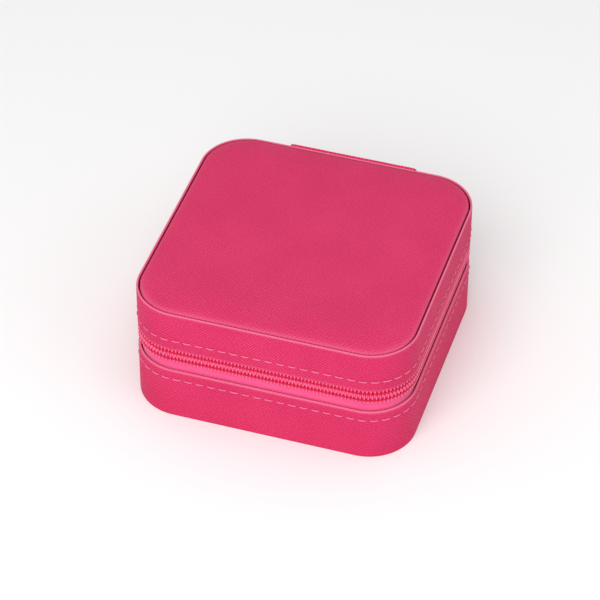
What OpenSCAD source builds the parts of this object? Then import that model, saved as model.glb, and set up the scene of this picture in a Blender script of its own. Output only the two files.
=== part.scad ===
// Zipped leather jewellery case: a padded lid and a lined base, joined by a coil zip on
// three sides and a leather hinge strip at the back.
// Millimetres. X is the width, +Y the hinge side, +Z up; the origin is the middle of the
// underside. "Depth into the wall" is measured inwards from the outer leather face.

/* [Case] */
// Width of the case, left to right
case_w = 100; // [84:1:130]
// Depth of the case, front to hinge
case_d = 100; // [84:1:130]
// Height of the base wall, from the table to its rim
base_h = 21; // [19:0.5:32]
// Open band between the base's rim and the lid wall's lower edge, where the zip shows
zip_band_h = 10; // [9:0.5:14]
// Height of the lid wall
lid_h = 15.7; // [15:0.1:26]
// Outside corner radius
corner_r = 17; // [14:0.5:22]
// How far the padded top stands above the lid's rim
crown_rise = 2.1; // [1:0.1:4]
// How far in from its edge the padded top goes on rising
crown_run = 15; // [10:1:20]

/* [Wall layers] */
// Leather skin of the walls and the underside
leather_t = 1.0; // [0.8:0.1:1.4]
// Grey board inside the walls
board_t = 1.6; // [1.4:0.1:2.4]
// Velvet-covered card that lines the walls
lining_t = 1.6; // [1.2:0.1:2.4]
// Height of the turned hem where each wall meets the zip
hem_h = 5.5; // [4.5:0.5:7]
// Board of the top and bottom panels
panel_board_t = 2.0; // [1.6:0.1:2.6]
// Velvet-covered card on the floor and the ceiling
floor_lining_t = 1.2; // [1:0.1:2]
// Leather over the padded top
cover_t = 0.8; // [0.6:0.1:1.2]
// Groove round the padded top and round the underside panel
groove_w = 0.35; // [0.25:0.05:0.6]
// Depth of the groove: how far the top panel's seat lies below the rim
seat_drop = 3.3; // [3.1:0.1:4.5]

/* [Zip] */
// Woven tape thickness
tape_t = 0.6; // [0.5:0.05:0.7]
// Thickness of a coil half, over the tape
coil_t = 1.8; // [1.4:0.1:2]
// Height of one coil half
coil_h = 2.65; // [2.2:0.05:2.8]
// Space between the two halves of the zip, where the slider's neck runs
zip_part = 0.9; // [0.8:0.1:1.2]
// Centre of the chain below the lid wall's edge
chain_drop = 3; // [2.6:0.1:3.2]
// Length of each end stop
stop_l = 2; // [1.5:0.5:3]

/* [Hinge] */
// Width of the leather hinge strip
strip_w = 48; // [40:1:60]
// Offset of the strip from the middle of the back
strip_x = 1.4; // [-3:0.1:3]
// Thickness of the strip
strip_t = 1.5; // [1.2:0.1:1.8]
// Free height each side of the bend line
strip_bend = 2.5; // [2.5:0.1:3]
// Height of the strip's lower end above the table
strip_foot = 6; // [4:1:12]
// Thickness of the velvet strip inside the hinge
inner_strip_t = 0.8; // [0.6:0.1:1.2]

/* [Slider] */
// Slider length along the chain
slider_l = 11; // [10:0.5:12]
// Slider plate thickness
plate_t = 1.0; // [0.8:0.1:1.2]
// Free space between the slider and the zip or the leather
slide_clear = 0.15; // [0.12:0.01:0.2]
// Distance of the parked slider from the hinge end of the straight left side
park_gap = 3.5; // [1:0.5:8]
// Radius of the crown's two posts
post_r = 0.8; // [0.7:0.05:0.9]
// Thickness of the pull's link
link_t = 0.9; // [0.8:0.05:1.1]
// Radius of the bar that the pull tab turns on
bar_r = 0.55; // [0.5:0.05:0.65]
// Running clearance round the post and the bar
pivot_clear = 0.1; // [0.08:0.01:0.1]
// Length of the pull tab below its bar
pull_l = 17; // [12:0.5:17]

/* [Tray] */
// Width of the ring section
ring_w = 42; // [34:1:46]
// Thickness of the fixed partition
partition_t = 2.4; // [2:0.1:3.5]
// Height of the partition above the floor
partition_h = 16.4; // [12:0.1:17]
// Number of ring rolls
ring_rolls = 6; // [6:1:6]
// Gap between neighbouring ring rolls
roll_gap = 0.7; // [0.6:0.1:2]
// Thickness of a lift-out divider
divider_t = 2.2; // [1.8:0.1:3]
// Height of a lift-out divider
divider_h = 16; // [12:0.1:17]
// Clearance of a divider in its guides, each side
divider_clear = 0.25; // [0.2:0.05:0.4]
// Section of a guide rib: how far it stands out, and how wide it is
rib = 1.5; // [1.2:0.1:2]

/* [Lid fittings] */
// Width of the elastic pocket
pocket_w = 82; // [60:1:84]
// Free depth behind the pocket
pocket_gap = 2.6; // [2:0.1:3]
// Thickness of the pocket fabric
pocket_t = 0.7; // [0.6:0.1:1]
// Distance of the pocket's open edge behind the middle of the lid
pocket_mouth_y = -4; // [-8:1:4]
// Radius of the elastic in the pocket's hem
elastic_r = 0.6; // [0.5:0.1:0.7]
// Distance between the necklace tabs
tab_pitch = 24; // [18:1:27]
// Width of a necklace tab
tab_w = 8; // [6:0.5:10]
// Length of a necklace tab
tab_l = 14; // [12:0.5:15]
// Thickness of a necklace tab
tab_t = 1.2; // [1:0.1:1.4]
// Space behind a closed tab, for the chain that hangs on it
tab_gap = 0.8; // [0.6:0.1:1]
// Distance of the tabs' tips from the lid's front lining
tab_from_front = 4.8; // [3:0.1:6]

/* [Hidden] */
$fn = 48;
ARC_STEPS = 8; // steps in a lofted ring's corner
MIN_RING_R = 1.5; // sharpest corner of a lofted ring
EASE = [0.12, 0.3, 0.55, 0.8, 1]; // where a lofted crown has its rings

// depths into the wall
hem_t = leather_t + board_t - tape_t;
skin_depth = leather_t + board_t;
wall_t = skin_depth + lining_t;
panel_edge = leather_t + groove_w;

// heights
lid_edge_z = base_h + zip_band_h;
chain_z = lid_edge_z - chain_drop;
rim_z = lid_edge_z + lid_h;
seat_z = rim_z - seat_drop;
ceiling_z = seat_z - floor_lining_t;
floor_board_z = leather_t + panel_board_t;
floor_z = floor_board_z + floor_lining_t;
tape_depth = hem_t;
half_part = zip_part / 2;
lid_coil_top = min(chain_z + half_part + coil_h, lid_edge_z);

// the room inside
in_w = case_w - 2 * wall_t;
in_d = case_d - 2 * wall_t;
in_r = corner_r - wall_t;

// padded top: the shoulder is where the cover turns over its board
board_ease = 0.1;
board_top_z = seat_z + panel_board_t;
shoulder_z = board_top_z + cover_t + 0.1;
crown_h = rim_z + crown_rise - shoulder_z;

// hinge
hinge_y = case_d / 2;
tape_end = strip_w / 2 - 3;
coil_end = strip_w / 2 + stop_l + 0.2;

// slider, in its own frame: x along the chain, y up, z out of the wall
slider_y = case_d / 2 - corner_r - park_gap - slider_l / 2;
plate_in = max(0, coil_t - tape_depth) + slide_clear;
plate_out = plate_in + plate_t;
inner_plate_top = -(tape_depth + tape_t + slide_clear);
slider_half = [coil_h + half_part + 1.3, coil_h + half_part + 0.7];
flange_y = half_part + coil_h + slide_clear;
crown_leg_x = slider_l / 4;
link_z = plate_out + 2 * pivot_clear;
crown_z = link_z + link_t + 2 * pivot_clear;
crown_t = 0.9;
link_hole_r = post_r + pivot_clear;
link_eye_r = link_hole_r + 1.05;
link_w = 7;
link_arm = 0.95;
link_drop = 6.2;
eye_r = bar_r + pivot_clear + 0.6;
eye_l = link_w - 2 * link_arm - 0.3;
pull_t = 1.2;
pull_w = 7.6;

// tray
partition_x = -in_w / 2 + ring_w;
roll_pitch = in_d / ring_rolls;
roll_r = min((roll_pitch - roll_gap) / 2, partition_h / 2);
roll_clear = roll_gap / 2 - 0.05;
store_x = partition_x + partition_t;
store_w = in_w / 2 - store_x;
divider_y = [for (side = [-1, 1]) side * in_d / 6];
rib_h = divider_h - 1.2;

// lid fittings
lining_edge_z = lid_edge_z + 2;
tab_root_y = in_d / 2 - tab_from_front - tab_l;
strap_t = 1.0;
tab_top_z = ceiling_z - strap_t - tab_gap;
tab_axis_z = tab_top_z - tab_t / 2;
tab_root_gap = 0.8;
snap_r = 2.4;
stud_r = 0.9;
snap_from_tip = 3.6;
snap_y = -tab_root_y - tab_l + snap_from_tip;
hem_side = 2 * elastic_r + 1.4;
pocket_ease = 0.7; // clear of the velvet strip inside the hinge

// ---- shared shapes ----

// The case's outline, this far into the wall
module outline(depth) {
    w = case_w - 2 * depth;
    d = case_d - 2 * depth;
    r = corner_r - depth;
    square([w - 2 * r, d], center = true);
    square([w, d - 2 * r], center = true);
    for (sx = [-1, 1], sy = [-1, 1])
        translate([sx * (w / 2 - r), sy * (d / 2 - r)]) circle(r);
}

module plate(depth, z0, z1)
    translate([0, 0, z0]) linear_extrude(z1 - z0) outline(depth);

// A band that runs right round the case between two depths
module hoop(depth0, depth1, z0, z1)
    translate([0, 0, z0]) linear_extrude(z1 - z0) difference() {
        outline(depth0);
        outline(depth1);
    }

// A band that stops at the hinge: clear of it by half_gap each side of the strip's middle
module zip_hoop(depth0, depth1, z0, z1, half_gap)
    difference() {
        hoop(depth0, depth1, z0, z1);
        translate([strip_x - half_gap, 0, z0 - 1]) cube([2 * half_gap, case_d, z1 - z0 + 2]);
    }

// Points of a rounded rectangle this far into the wall, at height z
function ring(depth, z) =
    let (r = max(corner_r - depth, MIN_RING_R),
         cx = case_w / 2 - depth - r,
         cy = case_d / 2 - depth - r)
    [for (q = [0:3], k = [0:ARC_STEPS])
        let (a = 90 * (q + k / ARC_STEPS),
             sx = (q == 0 || q == 3) ? 1 : -1,
             sy = (q < 2) ? 1 : -1)
        [sx * cx + r * cos(a), sy * cy + r * sin(a), z]];

// A closed solid through rings given as [depth, height], from its underside's middle
// outwards and back over the top
module loft(levels) {
    n = 4 * (ARC_STEPS + 1);
    last = len(levels) - 1;
    points = [for (l = levels) each ring(l[0], l[1])];
    sides = [for (i = [0:last - 1], k = [0:n - 1])
        let (a = i * n + k, b = i * n + (k + 1) % n)
        each [[a, a + n, b], [b, a + n, b + n]]];
    polyhedron(points, concat([[for (k = [0:n - 1]) k]], sides,
                              [[for (k = [n - 1:-1:0]) last * n + k]]));
}

// Crown of the padded top, drop below the outer surface, from its edge inwards
function crown(drop) = [for (s = EASE)
    [panel_edge + drop + s * crown_run,
     shoulder_z - drop + crown_h * sqrt(1 - pow(1 - s, 2))]];
function reversed(list) = [for (i = [len(list) - 1:-1:0]) list[i]];

// ---- base ----

module base_wall_leather() color("crimson") {
    hoop(0, leather_t, 0, base_h);
    hoop(leather_t, hem_t, base_h - hem_h, base_h);
}

module base_wall_board() color("gray")
    hoop(leather_t, skin_depth, floor_board_z, base_h - hem_h);

module base_bottom_leather() color("crimson") {
    plate(panel_edge, 0, leather_t);
    hoop(panel_edge, panel_edge + cover_t, leather_t, floor_board_z);
}

module base_bottom_board() color("gray")
    plate(panel_edge + cover_t, leather_t, floor_board_z);

module base_wall_lining() color("pink")
    hoop(skin_depth, wall_t, floor_z, base_h - 0.4);

module base_floor_lining() color("pink")
    plate(skin_depth, floor_board_z, floor_z);

module base_zip_tape() color("hotpink")
    zip_hoop(tape_depth, tape_depth + tape_t, base_h - hem_h, chain_z - half_part, tape_end);

module base_zip_coil() color("deeppink")
    zip_hoop(tape_depth - coil_t, tape_depth, chain_z - half_part - coil_h,
             chain_z - half_part, coil_end);

// Small metal blocks that end a coil half, one each side of the strip
module end_stops(z0, z1)
    for (side = [-1, 1])
        translate([strip_x + side * (strip_w / 2 + 0.1 + stop_l / 2) - stop_l / 2,
                   hinge_y - tape_depth, z0])
            cube([stop_l, coil_t, z1 - z0]);

module base_end_stops() color("gold")
    end_stops(chain_z - half_part - coil_h, chain_z - half_part);

module strip_half(z0, z1)
    translate([strip_x - strip_w / 2, hinge_y, z0]) cube([strip_w, strip_t, z1 - z0]);

module hinge_strip_base_half() color("crimson") strip_half(strip_foot, chain_z - strip_bend);

module inner_strip_half(z0, z1)
    translate([strip_x - strip_w / 2, hinge_y - wall_t - inner_strip_t, z0])
        cube([strip_w, inner_strip_t, z1 - z0]);

module hinge_lining_base_half() color("pink") inner_strip_half(base_h - 5, chain_z - 0.4);

module tray_partition() color("pink")
    translate([partition_x, -in_d / 2, floor_z])
        cube([partition_t, in_d - inner_strip_t, partition_h]);

// Four upright ribs for each divider: a pair on the partition and a pair on the wall
module divider_guides() color("pink")
    for (y = divider_y, side = [-1, 1], x = [store_x, in_w / 2 - rib])
        translate([x, y + side * (divider_t / 2 + divider_clear + rib / 2) - rib / 2, floor_z])
            cube([rib, rib, rib_h]);

// A stuffed roll across the ring section: its wall end stays inside the rounded corner
module ring_roll(i) color("pink") {
    y = (i - (ring_rolls + 1) / 2) * roll_pitch;
    reach = in_r - roll_r - roll_clear;
    past_corner = max(0, abs(y) - (in_d / 2 - in_r));
    wall_end = -(in_w / 2 - in_r) - sqrt(max(0, reach * reach - past_corner * past_corner));
    inner_end = partition_x - roll_r - roll_clear;
    translate([wall_end, y, floor_z + roll_r]) rotate([0, 90, 0]) capsule(inner_end - wall_end);
}

module capsule(l) rotate_extrude() intersection() {
    union() {
        square([roll_r, l]);
        circle(roll_r);
        translate([0, l]) circle(roll_r);
    }
    translate([0, -roll_r]) square([roll_r, l + 2 * roll_r]);
}

// ---- lid ----

module lid_wall_leather() color("crimson") {
    hoop(0, leather_t, lid_edge_z, rim_z);
    hoop(leather_t, hem_t, lid_edge_z, lid_edge_z + hem_h);
}

module lid_wall_board() color("gray")
    hoop(leather_t, skin_depth, lid_edge_z + hem_h, seat_z);

module lid_top_cover() color("crimson")
    loft(concat(
        reversed(crown(cover_t)),
        [[panel_edge + cover_t, board_top_z], [panel_edge + cover_t, seat_z],
         [panel_edge, seat_z], [panel_edge, shoulder_z - 0.5]],
        crown(0)));

module lid_foam_pad() color("lightyellow")
    loft(concat([[panel_edge + cover_t, board_top_z]], crown(cover_t)));

module lid_top_board() color("gray")
    plate(panel_edge + cover_t + board_ease, seat_z, board_top_z);

module lid_wall_lining() color("pink")
    hoop(skin_depth, wall_t, lining_edge_z, ceiling_z);

module lid_ceiling_lining() color("pink")
    plate(skin_depth, ceiling_z, seat_z);

module lid_zip_tape() color("hotpink")
    zip_hoop(tape_depth, tape_depth + tape_t, chain_z + half_part, lid_edge_z + hem_h, tape_end);

module lid_zip_coil() color("deeppink")
    zip_hoop(tape_depth - coil_t, tape_depth, chain_z + half_part,
             lid_coil_top, coil_end);

module lid_end_stops() color("gold") end_stops(chain_z + half_part, lid_coil_top);

module hinge_strip_lid_half() color("crimson") strip_half(chain_z + strip_bend, rim_z);

module hinge_lining_lid_half() color("pink")
    inner_strip_half(chain_z + 0.4, lining_edge_z + 5);

// A shallow pouch on the ceiling, closed on three sides and open towards the front
module lid_pocket() color("pink") {
    z0 = ceiling_z - pocket_gap - pocket_t;
    difference() {
        pouch(0, pocket_mouth_y, z0, ceiling_z);
        pouch(pocket_t, pocket_mouth_y - 1, z0 + pocket_t, ceiling_z + 1);
    }
    difference() {
        translate([-pocket_w / 2, pocket_mouth_y - hem_side, z0])
            cube([pocket_w, hem_side, hem_side]);
        pocket_hem_bore(elastic_r + 0.1);
    }
}

// The pouch's block, this far inside its own outside, with the case's rounded corners
module pouch(inset, y0, z0, z1)
    intersection() {
        translate([-pocket_w / 2 + inset, y0, z0]) cube([pocket_w - 2 * inset, case_d, z1 - z0]);
        plate(wall_t + inner_strip_t + pocket_ease + inset, z0, z1);
    }

module pocket_hem_bore(r)
    translate([-pocket_w / 2 - 1, pocket_mouth_y - hem_side / 2,
               ceiling_z - pocket_gap - pocket_t + hem_side / 2])
        rotate([0, 90, 0]) cylinder(r = r, h = pocket_w + 2);

module pocket_elastic() color("white") intersection() {
    pocket_hem_bore(elastic_r);
    cube([pocket_w - 1, case_d, 2 * rim_z], center = true);
}

// A leather strap across the ceiling, with a raised root for each tab
module necklace_strap() color("crimson") {
    strap_w = 2 * tab_pitch + tab_w + 8;
    translate([-strap_w / 2, -tab_root_y - tab_l - 1.5, ceiling_z - strap_t])
        cube([strap_w, tab_l + 5.5, strap_t]);
    for (i = [-1:1])
        translate([i * tab_pitch - tab_w / 2, -tab_root_y + 0.6, tab_top_z])
            cube([tab_w, 2.4, tab_gap]);
}

module snap_studs() color("gold")
    for (i = [-1:1])
        translate([i * tab_pitch, snap_y, tab_top_z - tab_t * 0.6])
            cylinder(r = stud_r, h = tab_gap + tab_t * 0.6);

// A leather tab that folds at its root and closes on its stud; the end is round
module necklace_tab(i) color("crimson")
    translate([(i - 2) * tab_pitch, -tab_root_y, tab_top_z - tab_t]) difference() {
        linear_extrude(tab_t) {
            translate([-tab_w / 2, -tab_l + tab_w / 2])
                square([tab_w, tab_l - tab_w / 2 - tab_root_gap]);
            translate([0, -tab_l + tab_w / 2]) circle(tab_w / 2);
        }
        translate([0, snap_y + tab_root_y, tab_t * 0.4]) cylinder(r = stud_r + 0.25, h = tab_t);
    }

module snap_cap(i) color("gold")
    translate([(i - 2) * tab_pitch, snap_y, tab_top_z - tab_t - 0.7])
        cylinder(r1 = snap_r - 0.5, r2 = snap_r, h = 0.7);

// ---- slider and pull ----

// Puts a shape drawn in the slider's frame on the left side, over the chain
module on_chain()
    multmatrix([[0, 0, -1, -case_w / 2], [-1, 0, 0, slider_y], [0, 1, 0, chain_z]]) children();

// A slider plate: wide at the end that parts the coils, narrow where they leave closed
module slider_plate(z0, z1, trim)
    translate([0, 0, z0]) linear_extrude(z1 - z0)
        polygon([[-slider_l / 2, -slider_half[0] + trim + 1], [-slider_l / 2 + 1, -slider_half[0] + trim],
                 [-1, -slider_half[0] + trim], [slider_l / 2 - 0.6, -slider_half[1] + trim],
                 [slider_l / 2, -slider_half[1] + trim + 0.6], [slider_l / 2, slider_half[1] - trim - 0.6],
                 [slider_l / 2 - 0.6, slider_half[1] - trim], [-1, slider_half[0] - trim],
                 [-slider_l / 2 + 1, slider_half[0] - trim], [-slider_l / 2, slider_half[0] - trim - 1]]);

module slider_body() color("gold") on_chain() {
    slider_plate(plate_in, plate_out, 0);
    slider_plate(inner_plate_top - plate_t, inner_plate_top, 0.2);
    translate([-slider_l / 2 + 0.9, -half_part + slide_clear / 2, inner_plate_top])
        cube([2, zip_part - slide_clear, plate_in - inner_plate_top]);
    flange_in = -(tape_depth - 0.2);
    translate([-slider_l / 2 + 1, -slider_half[1] + 0.1, flange_in])
        cube([slider_l - 2, slider_half[1] - 0.1 - flange_y, plate_in - flange_in]);
}

// The loop that carries the pull: two round posts and the bar over them
module slider_crown() color("gold") on_chain() {
    for (side = [-1, 1])
        translate([side * crown_leg_x, 0, plate_out]) cylinder(r = post_r, h = crown_z - plate_out);
    translate([-crown_leg_x - 0.9, -0.9, crown_z]) cube([2 * crown_leg_x + 1.8, 1.8, crown_t]);
}

// A flat link that turns on the front post, with a bar across its lower end
module pull_link() color("gold") on_chain() translate([crown_leg_x, 0, 0]) {
    translate([0, 0, link_z]) linear_extrude(link_t) difference() {
        union() {
            circle(link_eye_r);
            translate([-link_w / 2, -link_drop - 0.4]) square([link_w, link_drop - 1.1]);
            translate([-1.4, -2.4]) square([2.8, 1.4]);
        }
        circle(link_hole_r);
        translate([-link_w / 2 + link_arm, -link_drop - 1])
            square([link_w - 2 * link_arm, link_drop - 1.6]);
    }
    translate([-link_w / 2 + 0.3, -link_drop, link_z + link_t / 2])
        rotate([0, 90, 0]) cylinder(r = bar_r, h = link_w - 0.6);
}

module pull_tab() color("gold") on_chain()
    translate([crown_leg_x, -link_drop, link_z + link_t / 2]) difference() {
        union() {
            translate([-eye_l / 2, 0, 0]) rotate([0, 90, 0]) cylinder(r = eye_r, h = eye_l);
            translate([0, 0, -pull_t / 2]) linear_extrude(pull_t) {
                translate([-eye_l / 2 + 0.3, -pull_l / 2]) square([eye_l - 0.6, pull_l / 2]);
                polygon([[-eye_l / 2 + 0.3, -2.2], [-pull_w / 2, -pull_l + pull_w / 2],
                         [pull_w / 2, -pull_l + pull_w / 2], [eye_l / 2 - 0.3, -2.2]]);
                translate([0, -pull_l + pull_w / 2]) circle(pull_w / 2);
            }
        }
        translate([-link_w, 0, 0]) rotate([0, 90, 0])
            cylinder(r = bar_r + pivot_clear, h = 2 * link_w);
        translate([0, -pull_l + pull_w / 2, -pull_t]) cylinder(r = 1.4, h = 2 * pull_t);
    }

// ---- lift-out dividers ----

module divider(i) color("pink")
    translate([store_x + divider_clear, divider_y[i] - divider_t / 2, floor_z])
        cube([store_w - 2 * divider_clear, divider_t, divider_h]);

base_wall_leather();
base_wall_board();
base_bottom_leather();
base_bottom_board();
base_wall_lining();
base_floor_lining();
base_zip_tape();
base_zip_coil();
base_end_stops();
hinge_strip_base_half();
hinge_lining_base_half();
tray_partition();
divider_guides();
for (i = [1:ring_rolls])
    ring_roll(i);
lid_wall_leather();
lid_wall_board();
lid_top_cover();
lid_foam_pad();
lid_top_board();
lid_wall_lining();
lid_ceiling_lining();
lid_zip_tape();
lid_zip_coil();
lid_end_stops();
hinge_strip_lid_half();
hinge_lining_lid_half();
lid_pocket();
pocket_elastic();
necklace_strap();
snap_studs();
for (i = [1:3]) {
    necklace_tab(i);
    snap_cap(i);
}
slider_body();
slider_crown();
pull_link();
pull_tab();
divider(0);  // divider_front
divider(1);  // divider_back
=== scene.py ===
import math

import bmesh
import bpy
import numpy as np
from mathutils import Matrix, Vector, noise


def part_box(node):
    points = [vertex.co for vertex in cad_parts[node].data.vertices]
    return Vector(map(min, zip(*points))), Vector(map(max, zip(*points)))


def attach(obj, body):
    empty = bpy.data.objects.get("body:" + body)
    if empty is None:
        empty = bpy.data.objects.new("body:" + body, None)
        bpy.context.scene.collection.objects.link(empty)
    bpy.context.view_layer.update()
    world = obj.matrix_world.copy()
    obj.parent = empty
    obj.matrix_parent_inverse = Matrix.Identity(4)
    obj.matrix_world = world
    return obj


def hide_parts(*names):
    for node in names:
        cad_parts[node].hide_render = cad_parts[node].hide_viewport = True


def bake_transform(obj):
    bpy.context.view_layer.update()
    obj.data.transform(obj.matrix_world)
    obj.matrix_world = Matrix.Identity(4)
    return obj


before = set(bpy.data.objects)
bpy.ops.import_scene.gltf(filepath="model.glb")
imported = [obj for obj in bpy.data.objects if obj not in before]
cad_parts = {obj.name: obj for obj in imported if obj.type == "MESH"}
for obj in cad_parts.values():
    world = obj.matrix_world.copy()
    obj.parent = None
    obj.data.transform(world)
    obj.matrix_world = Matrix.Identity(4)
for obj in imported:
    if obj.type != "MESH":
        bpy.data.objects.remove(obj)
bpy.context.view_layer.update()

# ---- Base wall ----
# A band of cross-grained leather, wrapped round grey board and glued. Its top edge is
# folded over into a hem, and one row of thread holds the hem and the zip's tape.


def box_of(node):
    """The lowest and highest corners of a CAD node at rest."""
    return tuple(Vector(corner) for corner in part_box(node))


base_low, base_high = box_of("base_wall_leather")
case_width = base_high.x - base_low.x
case_depth = base_high.y - base_low.y
base_rim = base_high.z
corner_radius = 0.017
leather_thickness = 0.001
hem_depth = 0.002
hem_height = 0.0055
seam_pitch = 0.0042
seam_from_edge = 0.0039
base_seam = base_rim - seam_from_edge


def way_round(spacing):
    """The case's outline from the middle of the back, by way of the left side: places,
    directions out of the wall, and distances along it. The last place is the first again."""
    half_x, half_y, r = case_width / 2, case_depth / 2, corner_radius
    places, outward = [], []
    runs = [((0, half_y), (r - half_x, half_y)), ((-half_x, half_y - r), (-half_x, r - half_y)),
            ((r - half_x, -half_y), (half_x - r, -half_y)), ((half_x, r - half_y), (half_x, half_y - r)),
            ((half_x - r, half_y), (0, half_y))]
    for turn, (start, end) in enumerate(runs):
        steps = max(2, round(math.dist(start, end) / spacing))
        facing = math.radians(90 + 90 * turn)
        for i in range(steps):
            t = i / steps
            places.append([start[0] + t * (end[0] - start[0]), start[1] + t * (end[1] - start[1])])
            outward.append([math.cos(facing), math.sin(facing)])
        if turn < 4:
            middle = (end[0] - r * math.cos(facing), end[1] - r * math.sin(facing))
            steps = max(6, round(r * math.pi / 2 / spacing))
            for i in range(steps):
                angle = facing + math.pi / 2 * i / steps
                outward.append([math.cos(angle), math.sin(angle)])
                places.append([middle[0] + r * math.cos(angle), middle[1] + r * math.sin(angle)])
    places.append(places[0])
    outward.append(outward[0])
    places, outward = np.array(places), np.array(outward)
    along = np.concatenate([[0], np.cumsum(np.linalg.norm(np.diff(places, axis=0), axis=1))])
    return places, outward, along


def rounded_section(corners, step):
    """A wall's cross-section from its corners (depth into the wall, height, radius),
    with round corners and no stretch longer than step."""
    points, n = [], len(corners)
    for i, (d, z, r) in enumerate(corners):
        here, before, after = (np.array(corners[j % n][:2]) for j in (i, i - 1, i + 1))
        if r == 0:
            points.append(here)
            continue
        a = here + (before - here) * r / np.linalg.norm(before - here)
        b = here + (after - here) * r / np.linalg.norm(after - here)
        for t in np.linspace(0, 1, 6):
            points.append((1 - t) ** 2 * a + 2 * t * (1 - t) * here + t * t * b)
    dense = []
    for p, q in zip(points, points[1:] + points[:1]):
        pieces = max(1, math.ceil(np.linalg.norm(q - p) / step))
        dense += [p + (q - p) * k / pieces for k in range(pieces)]
    return np.array(dense)


def mesh_from(name, points, faces, spots=()):
    """A smooth mesh. spots is its UV map, one place for each corner of each face."""
    mesh = bpy.data.meshes.new(name)
    mesh.from_pydata(points, [], faces)
    if spots:
        layer = mesh.uv_layers.new(name="UVMap")
        layer.data.foreach_set("uv", np.array(spots, np.float32).ravel())
    mesh.shade_smooth()
    return mesh


def heights_of(mesh):
    """The height of each of a mesh's points."""
    return np.array([v.co.z for v in mesh.vertices])


def new_object(name, data):
    """An object of that mesh, light or camera, in the scene."""
    made = bpy.data.objects.new(name, data)
    bpy.context.scene.collection.objects.link(made)
    return made


def swept(name, way, section, shape=None, closed_way=True):
    """A mesh made by taking a section along a way. Its UV map is in metres: along the wall,
    and round the section. shape may move the points: it gets depth, height and distance."""
    places, outward, along = way
    rings = len(places) - 1 if closed_way else len(places)
    count = len(section)
    round_it = np.concatenate([[0], np.cumsum(np.linalg.norm(
        np.diff(np.vstack([section, section[:1]]), axis=0), axis=1))])
    vertices = []
    for i in range(rings):
        depth, height = section[:, 0].copy(), section[:, 1].copy()
        if shape:
            depth, height = shape(depth, height, along[i])
        xy = places[i] - np.outer(depth, outward[i])
        vertices += [(xy[k, 0], xy[k, 1], height[k]) for k in range(count)]
    faces, spots = [], []
    for i in range(len(places) - 1):
        j = (i + 1) % rings
        for k in range(count):
            m = (k + 1) % count
            faces.append((i * count + k, j * count + k, j * count + m, i * count + m))
            spots += [(along[i], round_it[k]), (along[i + 1], round_it[k]),
                      (along[i + 1], round_it[k + 1]), (along[i], round_it[k + 1])]
    if not closed_way:
        faces.append(tuple(range(count)))
        faces.append(tuple(reversed(range((rings - 1) * count, rings * count))))
        spots += [(0, 0)] * (2 * count)
    mesh = mesh_from(name, vertices, faces, spots)
    mesh.validate()
    return mesh


def add_piece(name, mesh, body, material, slot, *nodes):
    """Puts a finished mesh in the scene, on a body, in place of some CAD nodes."""
    piece = new_object(name, mesh)
    mesh.materials.clear()
    mesh.materials.append(material)
    if body:
        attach(piece, body)
    if nodes:
        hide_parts(*nodes)
    return piece


def unevenness(x, y, z, size, amount):
    """A soft, fixed unevenness of that size and amount, in metres."""
    return amount * noise.noise(Vector((x, y, z)) / size)


def new_material(name, colour, roughness, **settings):
    """A Principled material with plain values set on its own sockets."""
    material = bpy.data.materials.new(name)
    material.use_nodes = True
    material.diffuse_color = (*colour, 1)
    shader = material.node_tree.nodes["Principled BSDF"]
    shader.inputs["Base Color"].default_value = (*colour, 1)
    shader.inputs["Roughness"].default_value = roughness
    for label, value in settings.items():
        shader.inputs[label.replace("_", " ")].default_value = value
    return material, material.node_tree, shader


def math_node(tree, what, *values):
    """A Math node fed with sockets or numbers."""
    node = tree.nodes.new("ShaderNodeMath")
    node.operation = what
    for i, value in enumerate(values):
        if isinstance(value, (int, float)):
            node.inputs[i].default_value = value
        else:
            tree.links.new(value, node.inputs[i])
    return node.outputs[0]


def noise_node(tree, place, scale, detail=2.0, roughness=0.5):
    """A Noise Texture at a place, with its scale in features per metre."""
    node = tree.nodes.new("ShaderNodeTexNoise")
    node.inputs["Scale"].default_value = scale
    node.inputs["Detail"].default_value = detail
    node.inputs["Roughness"].default_value = roughness
    tree.links.new(place, node.inputs["Vector"])
    return node.outputs["Fac"]


def shader_group(name, inputs, outputs):
    """An empty shader group with named sockets: inputs (label, kind, value), outputs (label, kind)."""
    tree = bpy.data.node_groups.new(name, "ShaderNodeTree")
    for label, kind, value in inputs:
        socket = tree.interface.new_socket(label, in_out="INPUT", socket_type=kind)
        if value is not None:
            socket.default_value = value
    for label, kind in outputs:
        tree.interface.new_socket(label, in_out="OUTPUT", socket_type=kind)
    return tree, tree.nodes.new("NodeGroupInput"), tree.nodes.new("NodeGroupOutput")


def place_group(tree, group, place, **values):
    """Puts a shader group in a material, reading that place."""
    node = tree.nodes.new("ShaderNodeGroup")
    node.node_tree = group
    tree.links.new(place, node.inputs["Place"])
    for label, value in values.items():
        node.inputs[label.replace("_", " ")].default_value = value
    return node


def where(tree, uv):
    """The UV map of a piece, or its object coordinates; both are in metres."""
    node = tree.nodes.new("ShaderNodeTexCoord")
    return node.outputs["UV" if uv else "Object"]


def bump_node(tree, shader, height, distance, strength=1.0):
    """A bump of that real height on a shader's normal."""
    node = tree.nodes.new("ShaderNodeBump")
    node.inputs["Distance"].default_value = distance
    node.inputs["Strength"].default_value = strength
    tree.links.new(height, node.inputs["Height"])
    tree.links.new(node.outputs["Normal"], shader.inputs["Normal"])


def shade_node(tree, factor, low, high):
    """A colour between two, by a factor. low may be a socket."""
    node = tree.nodes.new("ShaderNodeMix")
    node.data_type = "RGBA"
    if isinstance(low, tuple):
        node.inputs["A"].default_value = (*low, 1)
    else:
        tree.links.new(low, node.inputs["A"])
    node.inputs["B"].default_value = (*high, 1)
    tree.links.new(factor, node.inputs["Factor"])
    return node.outputs["Result"]


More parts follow.
